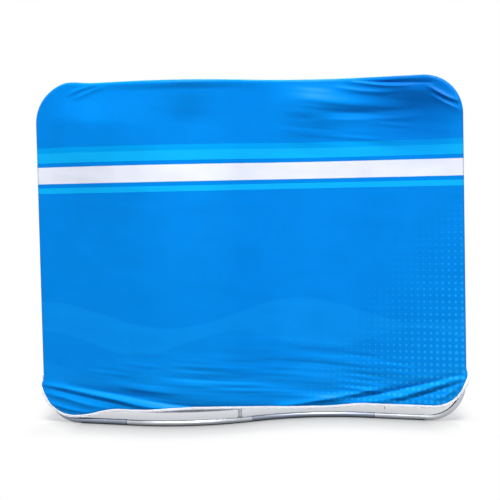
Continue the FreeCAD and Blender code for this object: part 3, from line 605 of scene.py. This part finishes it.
def printedKnit():
    # the knit with dye printed into it: the colours lie in the thread, with no film on top
    material, tree = startMaterial("printedStretchKnit")
    spot = addNode(tree, "ShaderNodeUVMap", uv_map="cloth").outputs["UV"]
    parts = addNode(tree, "ShaderNodeSeparateXYZ", {"Vector": spot})
    up = addNode(tree, "ShaderNodeMath",
                 {0: parts.outputs["Y"], 1: printed["clothHeight"]}, operation="DIVIDE")
    stripes = addNode(tree, "ShaderNodeValToRGB", {"Fac": up})
    ramp = stripes.color_ramp
    ramp.interpolation = "CONSTANT"
    ramp.elements[0].color = linear(printed["ground"])
    ramp.elements.remove(ramp.elements[1])
    for height, colour in printed["stripes"]:
        ramp.elements.new(height / printed["clothHeight"]).color = linear(colour)
    # tone-on-tone swells across the lower part, each one a sine along the cloth
    colour = stripes
    edge = printed["swellEdge"]
    for base, reach, length, phase, tone in printed["swells"]:
        turn = addNode(tree, "ShaderNodeMath",
                       {0: parts.outputs["X"], 1: 2 * math.pi / length, 2: phase},
                       operation="MULTIPLY_ADD")
        wave = addNode(tree, "ShaderNodeMath", {0: turn}, operation="SINE")
        line = addNode(tree, "ShaderNodeMath", {0: wave, 1: reach, 2: base}, operation="MULTIPLY_ADD")
        under = addNode(tree, "ShaderNodeMath", {0: line, 1: parts.outputs["Y"]}, operation="SUBTRACT")
        mask = addNode(tree, "ShaderNodeMapRange", {"Value": under, 1: -edge, 2: edge})
        colour = addNode(tree, "ShaderNodeMix",
                         {"Factor": mask, 6: colour, 7: linear(tone)}, data_type="RGBA").outputs[2]
    # a fade of dots towards one side, below the stripes
    start, full = printed["dotsBelow"]
    low, high = printed["dotSlopeRange"]
    small, large = printed["dotSize"]
    edge = printed["dotEdge"]
    lowPart = addNode(tree, "ShaderNodeMapRange", {"Value": parts.outputs["Y"], 1: start, 2: full})
    dots = addNode(tree, "ShaderNodeTexVoronoi",
                   {"Vector": spot, "Scale": 1 / printed["dotPitch"], "Randomness": 0.0},
                   voronoi_dimensions="2D", feature="F1")
    slope = addNode(tree, "ShaderNodeVectorMath",
                    {0: spot, 1: printed["dotSlope"]}, operation="DOT_PRODUCT")
    size = addNode(tree, "ShaderNodeMapRange",
                   {"Value": slope.outputs["Value"], 1: low, 2: high, 3: small, 4: large})
    gap = addNode(tree, "ShaderNodeMath", {0: size, 1: dots.outputs["Distance"]}, operation="SUBTRACT")
    mask = addNode(tree, "ShaderNodeMapRange", {"Value": gap, 1: -edge, 2: edge})
    inPart = addNode(tree, "ShaderNodeMath", {0: mask, 1: lowPart}, operation="MULTIPLY")
    colour = addNode(tree, "ShaderNodeMix",
                     {"Factor": inPart, 6: colour, 7: linear(printed["dots"])},
                     data_type="RGBA").outputs[2]
    # painted shade: the print darkens towards the upper right corner, standing for shade on the cloth
    # there
    near, far = printed["paintedShadeReach"]
    reach = addNode(tree, "ShaderNodeVectorMath", {0: spot, 1: printed["paintedShadePlace"]}, operation="DISTANCE")
    paintedShadeMask = addNode(tree, "ShaderNodeMapRange",
                     {"Value": reach.outputs["Value"], 1: far, 2: near}, interpolation_type="SMOOTHSTEP")
    colour = addNode(tree, "ShaderNodeMix",
                     {"Factor": paintedShadeMask, 6: colour, 7: linear(printed["paintedShadeColour"])},
                     data_type="RGBA").outputs[2]
    finishKnit(tree, spot, colour, printed["dyeRange"], printed["specular"])
    return material


def plainKnit(name, colour, specular):
    # the same knit, dyed or left white, seen without a print
    material, tree = startMaterial(name)
    spot = addNode(tree, "ShaderNodeUVMap", uv_map="cloth").outputs["UV"]
    finishKnit(tree, spot, linear(colour), knit["dyeRange"], specular)
    return material


dyedKnit = printedKnit()
blueKnit = plainKnit("plainBlueKnit", *knit["blue"])
whiteKnit = plainKnit("whiteKnitBack", *knit["white"])
frontCloth = panelPiece("front", [dyedKnit, whiteKnit])
backCloth = panelPiece("back", [blueKnit, whiteKnit])
print("cloth made:", len(frontCloth.data.vertices), len(backCloth.data.vertices))

# Zip half on each hem: a woven tape sewn below the cloth, and a coil of nylon teeth on its edge
zipper = {
    "tapeWidth": {"front": 0.015, "back": 0.012},
    "coilHeight": 0.0032,
    "coilStand": 0.0018,
    "pitch": 0.0032,
    "toothShare": 0.84,
    "stitchDrop": {"Upper": 0.0022, "Lower": 0.0086},
    "stitchPitch": 0.0046,
    "stitchSize": (0.0031, 0.0008, 0.0007),
    "stitchStand": 0.00015,
    "column": 0.008,
    "rows": 6,
    "lineStep": 0.004,
}


def hemPoints(face, along, turn, half, drop):
    # a line that runs parallel to the hem, straight below it, and straight out from it round the corners
    past = np.abs(along) + cover["outside"] * np.sin(turn)
    height = hemHeight(face, np.where(turn > 0, half * past, along))
    normal = (np.where(turn > 0, half, 0.0), np.zeros_like(along))
    lean = np.clip((past - coverEdge) / cover["hemRadius"] + 1, 0, 1)
    angle = planPlace(along)[2]
    aside = half * lean
    away = np.stack([aside * np.cos(angle), aside * np.sin(angle), -np.sqrt(1 - lean ** 2)], axis=-1)
    return coverPoints(face, along, height, turn, normal) + drop * away


def hemRun(face, step, drop):
    # the whole hem line from seam to seam
    flat = np.linspace(-halfLength, halfLength, int(2 * halfLength / step))
    turns = wrapTurns[1:]
    along = np.concatenate([np.full(len(turns), -halfLength), flat, np.full(len(turns), halfLength)])
    turn = np.concatenate([turns[::-1], np.zeros(len(flat)), turns])
    half = np.where(along < 0, -1.0, 1.0)
    return hemPoints(face, along, turn, half, drop)


def tapePiece(face, material):
    width = zipper["tapeWidth"][face]
    lines = [hemRun(face, zipper["column"], drop) for drop in np.linspace(0, width, zipper["rows"])]
    grid = np.stack(lines)[::-1]
    length = np.concatenate([[0], np.cumsum(np.linalg.norm(np.diff(grid[-1], axis=0), axis=1))])
    drop = np.linspace(width, 0, zipper["rows"])
    uv = np.stack(np.broadcast_arrays(length[None, :], drop[:, None]), axis=-1)
    rows, columns = grid.shape[:2]
    faces = gridFaces(rows, columns, 0, face == "back")
    piece = newPiece(f"{face}ZipTape", grid.reshape(-1, 3), faces, [material], uv.reshape(-1, 2))
    thicken(piece)
    return piece


def unitRows(rows):
    return rows / np.linalg.norm(rows, axis=1)[:, None]


def evenPlaces(line, pitch):
    # evenly spaced points along a line, with the way it runs there
    steps = np.linalg.norm(np.diff(line, axis=0), axis=1)
    knots = np.concatenate([[0], np.cumsum(steps)])
    places = np.arange(pitch / 2, knots[-1], pitch)
    spots, ahead, behind = (np.stack([np.interp(at, knots, values) for values in line.T], axis=-1)
                            for at in (places, places + pitch / 4, places - pitch / 4))
    return spots, unitRows(ahead - behind)


def beads(name, spots, axis, side, size, material):
    # one small rounded bead at each spot: six-sided, swollen in the middle, closed at both ends
    length, breadth, depth = size
    third = np.cross(axis, side)
    sides = 6
    rings = [(-0.5, 0.45), (-0.28, 1.0), (0.28, 1.0), (0.5, 0.45)]  # place along it, and swell
    angles = np.linspace(0, 2 * math.pi, sides, endpoint=False)
    points = []
    for along, swell in rings:
        for angle in angles:
            points.append(spots + axis * (along * length) + side * (math.cos(angle) * breadth * swell / 2)
                          + third * (math.sin(angle) * depth * swell / 2))
    points = np.stack(points, axis=1)
    count = points.shape[1]
    faces = []
    for start in range(0, len(spots) * count, count):
        for row in range(start, start + count - sides, sides):
            for k in range(sides):
                a, b = row + k, row + (k + 1) % sides
                faces.append((a, b, b + sides, a + sides))
        faces.append([start + k for k in reversed(range(sides))])
        faces.append([start + count - sides + k for k in range(sides)])
    return newPiece(name, points.reshape(-1, 3), faces, [material])


def outwardAt(spots, face):
    # straight out from the panel, level with the floor
    along = alongAt(spots[:, 0])
    angle = planPlace(along)[2]
    return np.stack([-np.sin(angle), np.cos(angle), np.zeros_like(angle)], axis=-1) * facesOut[face]


def coilPiece(face, material):
    middle = zipper["tapeWidth"][face] + zipper["coilHeight"] / 2
    spots, way = evenPlaces(hemRun(face, zipper["lineStep"], middle), zipper["pitch"])
    out = outwardAt(spots, face)
    up = unitRows(np.cross(out, way))
    spots = spots + out * ((zipper["coilStand"] - cover["thickness"]) / 2)
    size = (zipper["coilHeight"], zipper["pitch"] * zipper["toothShare"],
            zipper["coilStand"] + cover["thickness"])
    return beads(f"{face}ZipCoil", spots, up, way, size, material)


def stitchPiece(face, name, drop, material):
    spots, way = evenPlaces(hemRun(face, zipper["lineStep"], drop), zipper["stitchPitch"])
    out = outwardAt(spots, face)
    side = unitRows(np.cross(out, way))
    spots = spots + out * zipper["stitchStand"]
    return beads(name, spots, way, side, zipper["stitchSize"], material)


# Finishes of the zip: colour of each piece, its darkest and lightest shade, and the spacing of its
# pattern in mm. The twill is about 0.5 mm on a real tape and the twist 0.3 mm on a real thread, drawn
# coarser so that they show.
zipFinish = {
    "tape": ("#FBFCFF", (0.97, 1.02)),
    "twill": 1.6,
    "twillSlant": (0.0, 0.0, math.radians(40)),
    "coil": ("#F1F2F4", (0.90, 1.00)),
    "coilCloud": 111.0,
    "thread": ("#F2F3F6", (0.85, 1.00)),
    "twist": 1.1,
}


def wovenTape():
    # woven polyester tape: matt white with a fine slanted twill
    colour, shades = zipFinish["tape"]
    material, tree = startMaterial("wovenPolyesterTape")
    spot = addNode(tree, "ShaderNodeUVMap", uv_map="cloth").outputs["UV"]
    slant = addNode(tree, "ShaderNodeMapping", {"Vector": spot, "Rotation": zipFinish["twillSlant"]})
    twill = addNode(tree, "ShaderNodeTexWave",
                    {"Vector": slant, "Scale": bandScale(zipFinish["twill"])},
                    wave_type="BANDS", bands_direction="X", wave_profile="SIN")
    tint = mottle(tree, linear(colour), twill.outputs["Fac"], shades)
    bump = addNode(tree, "ShaderNodeBump",
                   {"Height": twill.outputs["Fac"], "Strength": 0.4, "Distance": 0.0003})
    shader = addNode(tree, "ShaderNodeBsdfPrincipled",
                     {"Base Color": tint, "Roughness": 0.8, "Specular IOR Level": 0.2, "Normal": bump})
    closeMaterial(tree, shader)
    return material


def nylonCoil():
    # drawn nylon: white, smooth and a little waxy, so each tooth takes a soft highlight
    colour, shades = zipFinish["coil"]
    material, tree = startMaterial("nylonZipCoil")
    spot = addNode(tree, "ShaderNodeTexCoord").outputs["Object"]
    grime = addNode(tree, "ShaderNodeTexNoise",
                    {"Vector": spot, "Scale": patternScale(zipFinish["coilCloud"]), "Detail": 4.0})
    tint = mottle(tree, linear(colour), grime.outputs["Fac"], shades, cloudSpread)
    rough = addNode(tree, "ShaderNodeMapRange", {"Value": grime.outputs["Fac"], 3: 0.32, 4: 0.5})
    shader = addNode(tree, "ShaderNodeBsdfPrincipled",
                     {"Base Color": tint, "Roughness": rough, "IOR": 1.53})
    closeMaterial(tree, shader)
    return material


def sewingThread():
    # twisted polyester thread: white and matt, broken up by its twist
    colour, shades = zipFinish["thread"]
    material, tree = startMaterial("polyesterThread")
    spot = addNode(tree, "ShaderNodeTexCoord").outputs["Object"]
    twist = addNode(tree, "ShaderNodeTexNoise",
                    {"Vector": spot, "Scale": patternScale(zipFinish["twist"]), "Detail": 1.0})
    tint = mottle(tree, linear(colour), twist.outputs["Fac"], shades)
    shader = addNode(tree, "ShaderNodeBsdfPrincipled",
                     {"Base Color": tint, "Roughness": 0.7, "Specular IOR Level": 0.25})
    closeMaterial(tree, shader)
    return material


tapeFinish, coilFinish, threadFinish = wovenTape(), nylonCoil(), sewingThread()
zipPieces = {}
for face in facesOut:
    tape = tapePiece(face, tapeFinish)
    coil = coilPiece(face, coilFinish)
    stitches = [stitchPiece(face, f"{face}TapeStitches{row}", drop, threadFinish)
                for row, drop in zipper["stitchDrop"].items()]
    zipPieces[face] = (tape, coil, stitches)
print("zip halves made")


# Tubes: the dark line that gathers at a butt joint (metres), painted shade on the upward crowns, and
# the clouds and grit of the anodising (mm). Real grit is about 0.1 mm, drawn coarser so that it shows.
tubing = {
    "jointLine": (0.0012, 0.0030),
    "jointDark": 0.25,
    "crownPaintedShadeSlope": (0.68, 0.90),
    "crownPaintedShade": 0.4,
    "cloud": 143.0,
    "cloudShade": (0.92, 1.03),
    "grit": 2.4,
    "bright": ("#BCC0C6", (0.26, 0.38)),
    # tubes painted darker as shade under the low hem: their colour and roughness, then which tubes take it
    "paintedShadeFinish": ("#8A919F", (0.40, 0.52)),
    "sleeve": ("#4A4C50", (0.26, 0.38)),
    "tubesInPaintedShade": ("corner_tube_bottom_left", "bottom_tube_right", "corner_tube_top_right",
                  "side_tube_left"),
}


def jointShade(tree, spot):
    # 1 on the tube, falling at the middle joint and at the two joints with the corner tubes
    gaps = []
    for along in (0.0, outerAlong):
        x, y, angle = (float(v) for v in planPlace(np.array(along)))
        way = addNode(tree, "ShaderNodeVectorMath",
                      {0: spot, 1: (math.cos(angle), math.sin(angle), 0.0)}, operation="DOT_PRODUCT")
        reach = addNode(tree, "ShaderNodeMath", {0: way.outputs["Value"]}, operation="ABSOLUTE")
        place = x * math.cos(angle) + y * math.sin(angle)
        past = addNode(tree, "ShaderNodeMath", {0: reach, 1: place}, operation="SUBTRACT")
        gaps.append(addNode(tree, "ShaderNodeMath", {0: past}, operation="ABSOLUTE"))
    nearest = addNode(tree, "ShaderNodeMath", {0: gaps[0], 1: gaps[1]}, operation="MINIMUM")
    start, end = tubing["jointLine"]
    return addNode(tree, "ShaderNodeMapRange",
                   {"Value": nearest, 1: start, 2: end, 3: tubing["jointDark"]})


def anodisedTube(name, colour, rough):
    # extruded aluminium, satin anodised: grey-white metal with a soft, slightly cloudy shine, and painted
    # shade on its upward crown
    material, tree = startMaterial(name)
    spot = addNode(tree, "ShaderNodeTexCoord").outputs["Object"]
    cloudy = addNode(tree, "ShaderNodeTexNoise",
                     {"Vector": spot, "Scale": patternScale(tubing["cloud"]),
                      "Detail": 5.0}).outputs["Fac"]
    grit = addNode(tree, "ShaderNodeTexNoise",
                   {"Vector": spot, "Scale": patternScale(tubing["grit"]), "Detail": 2.0})
    low, high = cloudSpread
    dim, light = tubing["cloudShade"]
    shade = addNode(tree, "ShaderNodeMapRange", {"Value": cloudy, 1: low, 2: high, 3: dim, 4: light})
    lined = addNode(tree, "ShaderNodeMath", {0: shade, 1: jointShade(tree, spot)}, operation="MULTIPLY")
    # painted shade: the upward-facing crown of each tube is darkened, standing for the shade under the
    # cover
    facing = addNode(tree, "ShaderNodeNewGeometry").outputs["Normal"]
    upward = addNode(tree, "ShaderNodeSeparateXYZ", {"Vector": facing}).outputs["Z"]
    start, end = tubing["crownPaintedShadeSlope"]
    paintedCrownShading = addNode(tree, "ShaderNodeMapRange",
                     {"Value": upward, 1: start, 2: end, 3: 1.0, 4: tubing["crownPaintedShade"]})
    cloudJointAndPaintedShade = addNode(tree, "ShaderNodeMath", {0: lined, 1: paintedCrownShading}, operation="MULTIPLY")
    tint = addNode(tree, "ShaderNodeHueSaturation", {"Color": linear(colour), "Value": cloudJointAndPaintedShade})
    satin = addNode(tree, "ShaderNodeMapRange",
                    {"Value": cloudy, 1: low, 2: high, 3: rough[0], 4: rough[1]})
    bump = addNode(tree, "ShaderNodeBump",
                   {"Height": grit.outputs["Fac"], "Strength": 0.06, "Distance": 0.0003})
    shader = addNode(tree, "ShaderNodeBsdfPrincipled",
                     {"Base Color": tint, "Metallic": 1.0, "Roughness": satin, "Normal": bump})
    closeMaterial(tree, shader)
    return material


# Small fittings: colour, roughness from and to, and the spacing of smudges or grain in mm. Moulding
# grain is about 0.1 mm, drawn coarser so that it shows.
fittings = {
    "zipMetal": ("#B9B6B0", (0.18, 0.34)),
    "steel": ("#A9ABAE", (0.24, 0.42)),
    "smudge": 6.25,
    "smudgeShade": (0.88, 1.04),
    "nylon": "#868A90",
    "grain": 1.4,
    "grainShade": (0.85, 1.10),
}


def platedMetal(name, colour, rough):
    # plated steel or zinc: bright metal, slightly clouded where it has been handled
    material, tree = startMaterial(name)
    spot = addNode(tree, "ShaderNodeTexCoord").outputs["Object"]
    worn = addNode(tree, "ShaderNodeTexNoise",
                   {"Vector": spot, "Scale": patternScale(fittings["smudge"]),
                    "Detail": 4.0}).outputs["Fac"]
    tint = mottle(tree, linear(colour), worn, fittings["smudgeShade"], cloudSpread)
    low, high = cloudSpread
    polish = addNode(tree, "ShaderNodeMapRange",
                     {"Value": worn, 1: low, 2: high, 3: rough[0], 4: rough[1]})
    shader = addNode(tree, "ShaderNodeBsdfPrincipled",
                     {"Base Color": tint, "Metallic": 1.0, "Roughness": polish})
    closeMaterial(tree, shader)
    return material


def mouldedNylon():
    # injection-moulded glass-filled nylon: mid grey, matt, with a fine spark-eroded grain
    material, tree = startMaterial("mouldedNylon")
    spot = addNode(tree, "ShaderNodeTexCoord").outputs["Object"]
    grain = addNode(tree, "ShaderNodeTexNoise",
                    {"Vector": spot, "Scale": patternScale(fittings["grain"]),
                     "Detail": 2.0}).outputs["Fac"]
    tint = mottle(tree, linear(fittings["nylon"]), grain, fittings["grainShade"])
    bump = addNode(tree, "ShaderNodeBump", {"Height": grain, "Strength": 0.2, "Distance": 0.0002})
    shader = addNode(tree, "ShaderNodeBsdfPrincipled",
                     {"Base Color": tint, "Roughness": 0.55, "IOR": 1.53, "Normal": bump})
    closeMaterial(tree, shader)
    return material


finishes = {
    "aluminium_tube": anodisedTube("satinAnodisedAluminium", *tubing["bright"]),
    "zip_metal": platedMetal("nickelPlatedZinc", *fittings["zipMetal"]),
    "zinc_steel": platedMetal("zincPlatedSteel", *fittings["steel"]),
    "moulded_nylon": mouldedNylon(),
}
darkSleeve = anodisedTube("darkAnodisedAluminium", *tubing["sleeve"])
paintedShadeTube = anodisedTube("anodisedAluminiumInPaintedShade", *tubing["paintedShadeFinish"])
slotOf = {part["node"]: part["material_slot"] for part in frame["record"]["subparts"]}
for name, node in nodes.items():
    finish = finishes.get(slotOf.get(name))
    if "ferrule" in name:
        finish = darkSleeve
    elif name in tubing["tubesInPaintedShade"]:  # these tubes are painted darker, standing for the shade cast on them by the low hem
        finish = paintedShadeTube
    if finish is None:
        continue
    for place in node.material_slots:
        place.material = finish
print("metal and nylon finished")

# What each piece rides on and stands for
for face, cloth in (("front", frontCloth), ("back", backCloth)):
    tape, coil, stitches = zipPieces[face]
    for piece, node, slot in ((cloth, "panel", "printed_fabric" if face == "front" else "plain_fabric"),
                              (tape, "zip_tape", "zip_tape"), (coil, "zip_coil", "zip_coil")):
        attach(piece, "cover")
        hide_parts(f"{face}_{node}")
    for piece in stitches:
        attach(piece, "cover")
print("pieces ride on the cover")

# Pale floor with a painted shadow round the stand, and soft studio light: a large far lamp high in front,
# a weaker one behind, and the room
studio = {
    "floorSize": 60.0,
    "floorColour": "#6E7070",
    "floorWarmth": "#FFFBF6",
    # painted shadow round the stand: the distances over which the glow clears, its curve, its stretch past
    # the ends, and the glow in front and behind
    "paintedShadowSpan": (0.02, 0.46),
    "paintedShadowCurve": 0.33,
    "paintedShadowEnds": (1.15, 1.48, 0.45),
    "glowFront": 0.71,
    "glowInPaintedShadeBehind": 0.56,
    "glowTurn": 0.05,
    "whiteAhead": (-0.30, -0.62),
    "whiteBeside": (1.35, 1.56),
    "whiteAround": (0.70, 1.50),
    "whiteSpread": (0.32, 1.0, 1.0),
    "roomTint": "#ADD0FF",
    "roomFront": 0.09,
    "roomBack": 0.86,
    "roomTurn": (-0.35, 0.30),
    "keyPlace": (0.3, -14.0, 25.0),
    "keyTarget": (0.0, 0.0, 1.1),
    "keySize": 7.5,
    "keyPower": 12900.0,
    "backPlace": (6.0, 14.0, 22.0),
    "backSize": 9.0,
    "backPower": 5600.0,
}


def seenRay(tree):
    # 1 where the eye, a reflection or a view through meets the surface itself
    path = addNode(tree, "ShaderNodeLightPath")
    first = addNode(tree, "ShaderNodeMath",
                    {0: path.outputs["Is Camera Ray"], 1: path.outputs["Is Glossy Ray"]},
                    operation="MAXIMUM")
    return addNode(tree, "ShaderNodeMath",
                   {0: first, 1: path.outputs["Is Transmission Ray"]}, operation="MAXIMUM")


def layFloor():
    half = studio["floorSize"] / 2
    corners = [(-half, -half, 0), (half, -half, 0), (half, half, 0), (-half, half, 0)]
    material, tree = startMaterial("paperFloor")
    paper = addNode(tree, "ShaderNodeBsdfDiffuse", {"Color": linear(studio["floorColour"])})
    spot = addNode(tree, "ShaderNodeNewGeometry").outputs["Position"]
    parts = addNode(tree, "ShaderNodeSeparateXYZ", {"Vector": spot})
    # how far the paper is from the bottom tube, whose plan is drawn as a curve with values from 0 to 1
    middle, stops = 0.5, 15
    share = addNode(tree, "ShaderNodeMapRange", {"Value": parts.outputs["X"], 1: -planReach, 2: planReach})
    curve = addNode(tree, "ShaderNodeFloatCurve", {"Value": share})
    line = curve.mapping.curves[0]
    planX, planY = planPlace(np.linspace(-bendStart, bendStart, stops))[:2]
    places = [((x + planReach) / (2 * planReach), y + middle) for x, y in zip(planX, planY)]
    line.points[0].location = places[0]
    for place in places[1:-1]:
        line.points.new(*place)
    line.points[len(line.points) - 1].location = places[-1]
    curve.mapping.update()
    offset = addNode(tree, "ShaderNodeMath", {0: parts.outputs["Y"], 1: curve}, operation="SUBTRACT")
    level = addNode(tree, "ShaderNodeMath", {0: offset, 1: middle}, operation="ADD")
    across = addNode(tree, "ShaderNodeMath", {0: level}, operation="ABSOLUTE")
    sideways = addNode(tree, "ShaderNodeMath", {0: parts.outputs["X"]}, operation="ABSOLUTE")
    # painted shadow: the glow is held back near the bottom tube and clears with distance, sooner past the
    # ends of the stand; the paper's own shade shows where it is held back
    start, end, most = studio["paintedShadowEnds"]
    past = addNode(tree, "ShaderNodeMapRange", {"Value": sideways, 1: start, 2: end, 3: 0.0, 4: most})
    apart = addNode(tree, "ShaderNodeMath", {0: across, 1: past}, operation="ADD")
    start, end = studio["paintedShadowSpan"]
    clear = addNode(tree, "ShaderNodeMapRange", {"Value": apart, 1: start, 2: end})
    paintedShadowFade = addNode(tree, "ShaderNodeMath", {0: clear, 1: studio["paintedShadowCurve"]}, operation="POWER")
    # painted shade behind the stand: the glow there is weaker than in front
    turn = studio["glowTurn"]
    side = addNode(tree, "ShaderNodeMapRange",
                   {"Value": level, 1: -turn, 2: turn, 3: studio["glowFront"], 4: studio["glowInPaintedShadeBehind"]})
    strength = addNode(tree, "ShaderNodeMath", {0: paintedShadowFade, 1: side}, operation="MULTIPLY")
    glow = addNode(tree, "ShaderNodeEmission",
                   {"Color": linear(studio["floorWarmth"]), "Strength": strength})
    near = addNode(tree, "ShaderNodeAddShader", {0: paper, 1: glow})
    # the paper runs out into plain white away from the stand, beside it and in front
    oval = addNode(tree, "ShaderNodeVectorMath", {0: spot, 1: studio["whiteSpread"]}, operation="MULTIPLY")
    away = addNode(tree, "ShaderNodeVectorMath", {0: oval}, operation="LENGTH")
    far = 0.0
    for distance, (start, full) in ((away.outputs["Value"], studio["whiteAround"]),
                                    (sideways, studio["whiteBeside"]),
                                    (level, studio["whiteAhead"])):
        fade = addNode(tree, "ShaderNodeMapRange",
                       {"Value": distance, 1: start, 2: full}, interpolation_type="SMOOTHSTEP")
        far = addNode(tree, "ShaderNodeMath", {0: far, 1: fade}, operation="MAXIMUM")
    white = addNode(tree, "ShaderNodeEmission", {"Strength": 1.0})
    seen = addNode(tree, "ShaderNodeMixShader", {0: far, 1: near, 2: white})
    mix = addNode(tree, "ShaderNodeMixShader", {0: seenRay(tree), 1: paper, 2: seen})
    closeMaterial(tree, mix)
    floor = newPiece("paperFloor", corners, [(0, 1, 2, 3)], [material], smooth=False)


def hangLamp(name, place, target, size, power):
    data = bpy.data.lights.new(name, "AREA")
    data.size = size
    data.energy = power
    lamp = bpy.data.objects.new(name, data)
    bpy.context.scene.collection.objects.link(lamp)
    lamp.location = place
    lamp.rotation_euler = (Vector(target) - Vector(place)).to_track_quat("-Z", "Y").to_euler()


def lightRoom():
    world = bpy.data.worlds.new("studioRoom")
    bpy.context.scene.world = world
    world.use_nodes = True
    tree = world.node_tree
    tree.nodes.clear()
    # the room is dim in front of the stand and pale behind it
    way = addNode(tree, "ShaderNodeTexCoord").outputs["Generated"]
    parts = addNode(tree, "ShaderNodeSeparateXYZ", {"Vector": way})
    start, end = studio["roomTurn"]
    level = addNode(tree, "ShaderNodeMapRange",
                    {"Value": parts.outputs["Y"], 1: start, 2: end, 3: studio["roomFront"],
                     4: studio["roomBack"]}, interpolation_type="SMOOTHSTEP")
    dim = addNode(tree, "ShaderNodeBackground", {"Color": linear(studio["roomTint"]), "Strength": level})
    bright = addNode(tree, "ShaderNodeBackground", {"Color": (1, 1, 1, 1), "Strength": 1.0})
    mix = addNode(tree, "ShaderNodeMixShader", {0: seenRay(tree), 1: dim, 2: bright})
    addNode(tree, "ShaderNodeOutputWorld", {"Surface": mix})


layFloor()
lightRoom()
hangLamp("keyLamp", studio["keyPlace"], studio["keyTarget"], studio["keySize"], studio["keyPower"])
hangLamp("backLamp", studio["backPlace"], studio["keyTarget"], studio["backSize"], studio["backPower"])
bpy.context.scene.view_settings.view_transform = "Standard"
print("studio lit")
